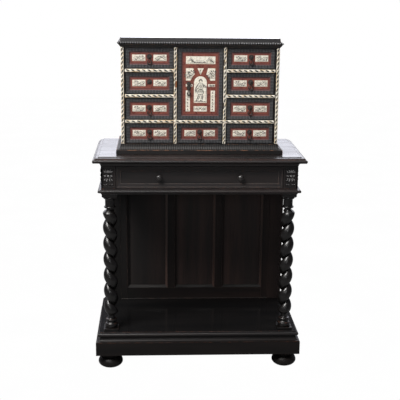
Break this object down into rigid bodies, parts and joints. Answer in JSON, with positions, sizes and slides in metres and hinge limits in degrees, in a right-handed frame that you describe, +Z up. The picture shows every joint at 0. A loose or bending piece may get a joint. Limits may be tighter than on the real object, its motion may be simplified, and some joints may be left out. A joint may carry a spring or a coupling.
{
  "type": "collectors cabinet on stand",
  "caption": "Ebonised collectors cabinet with small drawers, bone and red veneer fronts and a central door, on a table stand with twist columns and a drawer.",
  "frame": {"origin": "on the floor under the middle of the stand", "axes": "+Z up, the front faces -Y, +X to the right of someone who faces the front"},
  "size_m": [0.9, 0.4656, 1.438],
  "materials": {
    "stand_wood": "black stained and polished wood with red-brown wear on its edges",
    "ebony": "ebony and ebonised wood, rippled mouldings with a soft polish",
    "inner_wood": "plain unpolished wood inside the drawers",
    "iron": "dark worn iron",
    "bone": "old polished bone with dark engraved lines",
    "red_veneer": "mottled red shell-like veneer under a soft polish"
  },
  "bodies": {
    "carcase": {"back_frame": "stand_wood", "back_panel_centre": "stand_wood", "back_panel_left": "stand_wood", "back_panel_right": "stand_wood", "base_board": "stand_wood", "cabinet_back": "ebony", "cabinet_base": "ebony", "cabinet_side_left": "ebony", "cabinet_side_right": "ebony", "cabinet_top": "ebony", "column_left": "stand_wood", "column_right": "stand_wood", "divider_left": "ebony", "divider_right": "ebony", "drawer_rail": "stand_wood", "foot_front_left": "stand_wood", "foot_front_right": "stand_wood", "foot_rear_left": "stand_wood", "foot_rear_right": "stand_wood", "frieze_back": "stand_wood", "frieze_block_left": "stand_wood", "frieze_block_right": "stand_wood", "frieze_side_left": "stand_wood", "frieze_side_right": "stand_wood", "hinge_lower": "iron", "hinge_upper": "iron", "plinth": "stand_wood", "shelf_centre": "ebony", "shelf_left_1": "ebony", "shelf_left_2": "ebony", "shelf_left_3": "ebony", "shelf_right_1": "ebony", "shelf_right_2": "ebony", "shelf_right_3": "ebony", "stand_top": "stand_wood"},
    "stand_drawer": {"stand_drawer_front": "stand_wood", "stand_drawer_box": "inner_wood", "stand_knob_left": "stand_wood", "stand_knob_right": "stand_wood"},
    "centre_drawer": {"drawer_centre": "ebony"},
    "centre_pull": {"pull_centre": "iron"},
    "left_1_drawer": {"drawer_left_1": "ebony"},
    "left_1_pull": {"pull_left_1": "iron"},
    "left_2_drawer": {"drawer_left_2": "ebony"},
    "left_3_drawer": {"drawer_left_3": "ebony"},
    "left_3_pull": {"pull_left_3": "iron"},
    "left_4_drawer": {"drawer_left_4": "ebony"},
    "left_4_pull": {"pull_left_4": "iron"},
    "right_1_drawer": {"drawer_right_1": "ebony"},
    "right_1_pull": {"pull_right_1": "iron"},
    "right_2_drawer": {"drawer_right_2": "ebony"},
    "right_2_pull": {"pull_right_2": "iron"},
    "right_3_drawer": {"drawer_right_3": "ebony"},
    "right_3_pull": {"pull_right_3": "iron"},
    "right_4_drawer": {"drawer_right_4": "ebony"},
    "right_4_pull": {"pull_right_4": "iron"},
    "door_leaf": {"door": "ebony", "lock_case": "iron"},
    "door_drop": {"door_pull": "iron"},
    "lock_bolt_body": {"lock_bolt": "iron"}
  },
  "joints": [
    {"name": "stand_drawer_slide", "type": "slide", "parent": "carcase", "child": "stand_drawer", "axis": [0, -1, 0], "range_m": [0, 0.28]},
    {"name": "drawer_centre_slide", "type": "slide", "parent": "carcase", "child": "centre_drawer", "axis": [0, -1, 0], "range_m": [0, 0.24]},
    {"name": "pull_centre_swing", "type": "hinge", "parent": "centre_drawer", "child": "centre_pull", "pos_m": [0, -0.1319, 1.0423], "axis": [-1, 0, 0], "range_deg": [0, 100]},
    {"name": "drawer_left_1_slide", "type": "slide", "parent": "carcase", "child": "left_1_drawer", "axis": [0, -1, 0], "range_m": [0, 0.24]},
    {"name": "pull_left_1_swing", "type": "hinge", "parent": "left_1_drawer", "child": "left_1_pull", "pos_m": [-0.21225, -0.1319, 1.3583], "axis": [-1, 0, 0], "range_deg": [0, 100]},
    {"name": "drawer_left_2_slide", "type": "slide", "parent": "carcase", "child": "left_2_drawer", "axis": [0, -1, 0], "range_m": [0, 0.24]},
    {"name": "drawer_left_3_slide", "type": "slide", "parent": "carcase", "child": "left_3_drawer", "axis": [0, -1, 0], "range_m": [0, 0.24]},
    {"name": "pull_left_3_swing", "type": "hinge", "parent": "left_3_drawer", "child": "left_3_pull", "pos_m": [-0.21225, -0.1319, 1.14705], "axis": [-1, 0, 0], "range_deg": [0, 100]},
    {"name": "drawer_left_4_slide", "type": "slide", "parent": "carcase", "child": "left_4_drawer", "axis": [0, -1, 0], "range_m": [0, 0.24]},
    {"name": "pull_left_4_swing", "type": "hinge", "parent": "left_4_drawer", "child": "left_4_pull", "pos_m": [-0.21225, -0.1319, 1.0423], "axis": [-1, 0, 0], "range_deg": [0, 100]},
    {"name": "drawer_right_1_slide", "type": "slide", "parent": "carcase", "child": "right_1_drawer", "axis": [0, -1, 0], "range_m": [0, 0.24]},
    {"name": "pull_right_1_swing", "type": "hinge", "parent": "right_1_drawer", "child": "right_1_pull", "pos_m": [0.21225, -0.1319, 1.3583], "axis": [-1, 0, 0], "range_deg": [0, 100]},
    {"name": "drawer_right_2_slide", "type": "slide", "parent": "carcase", "child": "right_2_drawer", "axis": [0, -1, 0], "range_m": [0, 0.24]},
    {"name": "pull_right_2_swing", "type": "hinge", "parent": "right_2_drawer", "child": "right_2_pull", "pos_m": [0.21225, -0.1319, 1.25405], "axis": [-1, 0, 0], "range_deg": [0, 100]},
    {"name": "drawer_right_3_slide", "type": "slide", "parent": "carcase", "child": "right_3_drawer", "axis": [0, -1, 0], "range_m": [0, 0.24]},
    {"name": "pull_right_3_swing", "type": "hinge", "parent": "right_3_drawer", "child": "right_3_pull", "pos_m": [0.21225, -0.1319, 1.14705], "axis": [-1, 0, 0], "range_deg": [0, 100]},
    {"name": "drawer_right_4_slide", "type": "slide", "parent": "carcase", "child": "right_4_drawer", "axis": [0, -1, 0], "range_m": [0, 0.24]},
    {"name": "pull_right_4_swing", "type": "hinge", "parent": "right_4_drawer", "child": "right_4_pull", "pos_m": [0.21225, -0.1319, 1.0423], "axis": [-1, 0, 0], "range_deg": [0, 100]},
    {"name": "door_hinge", "type": "hinge", "parent": "carcase", "child": "door_leaf", "pos_m": [0.0971, -0.1323, 1.2465], "axis": [0, 0, 1], "range_deg": [0, 80]},
    {"name": "door_pull_swing", "type": "hinge", "parent": "door_leaf", "child": "door_drop", "pos_m": [-0.0475, -0.1319, 1.2243], "axis": [-1, 0, 0], "range_deg": [0, 100]},
    {"name": "lock_bolt_throw", "type": "slide", "parent": "door_leaf", "child": "lock_bolt_body", "axis": [-1, 0, 0], "range_m": [0, 0.007]}
  ]
}
